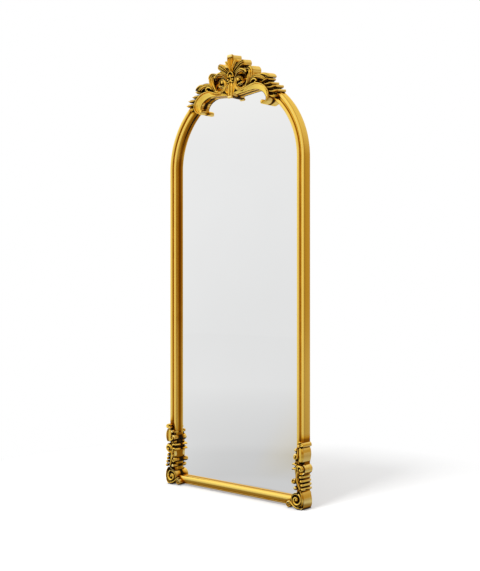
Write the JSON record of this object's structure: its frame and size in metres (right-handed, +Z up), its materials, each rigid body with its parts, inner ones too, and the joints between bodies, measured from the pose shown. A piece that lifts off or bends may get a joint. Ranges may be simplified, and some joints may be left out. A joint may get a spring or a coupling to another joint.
{
  "type": "floor mirror",
  "caption": "Tall arched floor mirror: beaded gilt moulding round one glass, Rococo carved crest and carved corner castings at the feet, D-ring hangers on its back.",
  "frame": {"origin": "middle of the bounding box at floor level", "axes": "+Z up, +X to the right as seen from the front, the glass faces -Y and the wall side is +Y"},
  "size_m": [0.7484, 0.0654, 1.753],
  "materials": {
    "gilt_moulding": "gilded and burnished, aged",
    "gilt_carving": "gilded, with umber antiquing in the recesses",
    "silvered_glass": "polished",
    "hardboard": "matte",
    "beech": "sanded",
    "zinc_steel": "zinc plated",
    "rubber": "matte",
    "felt": "felt"
  },
  "bodies": {
    "mirror_frame": {"stile_left": "gilt_moulding", "stile_right": "gilt_moulding", "arch_left": "gilt_moulding", "arch_right": "gilt_moulding", "bottom_rail": "gilt_moulding", "mirror_glass": "silvered_glass", "backing_board": "hardboard", "biscuit_crown": "beech", "biscuit_spring_left": "beech", "biscuit_spring_right": "beech", "biscuit_foot_left": "beech", "biscuit_foot_right": "beech", "crest_bud": "gilt_carving", "crest_pendant": "gilt_carving", "crest_palmette": "gilt_carving", "crest_board": "gilt_carving", "crest_scroll_left": "gilt_carving", "crest_scroll_right": "gilt_carving", "crest_band_left": "gilt_carving", "crest_band_right": "gilt_carving", "crest_arm_left": "gilt_carving", "crest_arm_right": "gilt_carving", "crest_spray_left": "gilt_carving", "crest_spray_right": "gilt_carving", "crest_fan_left": "gilt_carving", "crest_fan_right": "gilt_carving", "foot_scroll_left": "gilt_carving", "foot_scroll_right": "gilt_carving", "foot_rosette_left": "gilt_carving", "foot_rosette_right": "gilt_carving", "corner_scroll_left": "gilt_carving", "corner_scroll_right": "gilt_carving", "corner_collar_left": "gilt_carving", "corner_collar_right": "gilt_carving", "corner_wrap_left": "gilt_carving", "corner_wrap_right": "gilt_carving", "corner_lobes_left": "gilt_carving", "corner_lobes_right": "gilt_carving", "corner_curls_left": "gilt_carving", "corner_curls_right": "gilt_carving", "board_screw_1_left": "zinc_steel", "board_screw_1_right": "zinc_steel", "board_screw_2_left": "zinc_steel", "board_screw_2_right": "zinc_steel", "board_screw_3_left": "zinc_steel", "board_screw_3_right": "zinc_steel", "hanger_plate_left": "zinc_steel", "hanger_plate_right": "zinc_steel", "hanger_screw_1_left": "zinc_steel", "hanger_screw_1_right": "zinc_steel", "hanger_screw_2_left": "zinc_steel", "hanger_screw_2_right": "zinc_steel", "wall_bumper_left": "rubber", "wall_bumper_right": "rubber", "foot_pad_left": "felt", "foot_pad_right": "felt", "foot_heel_left": "beech", "foot_heel_right": "beech"},
    "ring_left": {"hanger_ring_left": "zinc_steel"},
    "ring_right": {"hanger_ring_right": "zinc_steel"}
  },
  "joints": [
    {"name": "ring_swing_left", "type": "hinge", "parent": "mirror_frame", "child": "ring_left", "pos_m": [-0.346, 0.02675, 1.25], "axis": [1, 0, 0], "range_deg": [0, 180]},
    {"name": "ring_swing_right", "type": "hinge", "parent": "mirror_frame", "child": "ring_right", "pos_m": [0.346, 0.02675, 1.25], "axis": [1, 0, 0], "range_deg": [0, 180]}
  ]
}
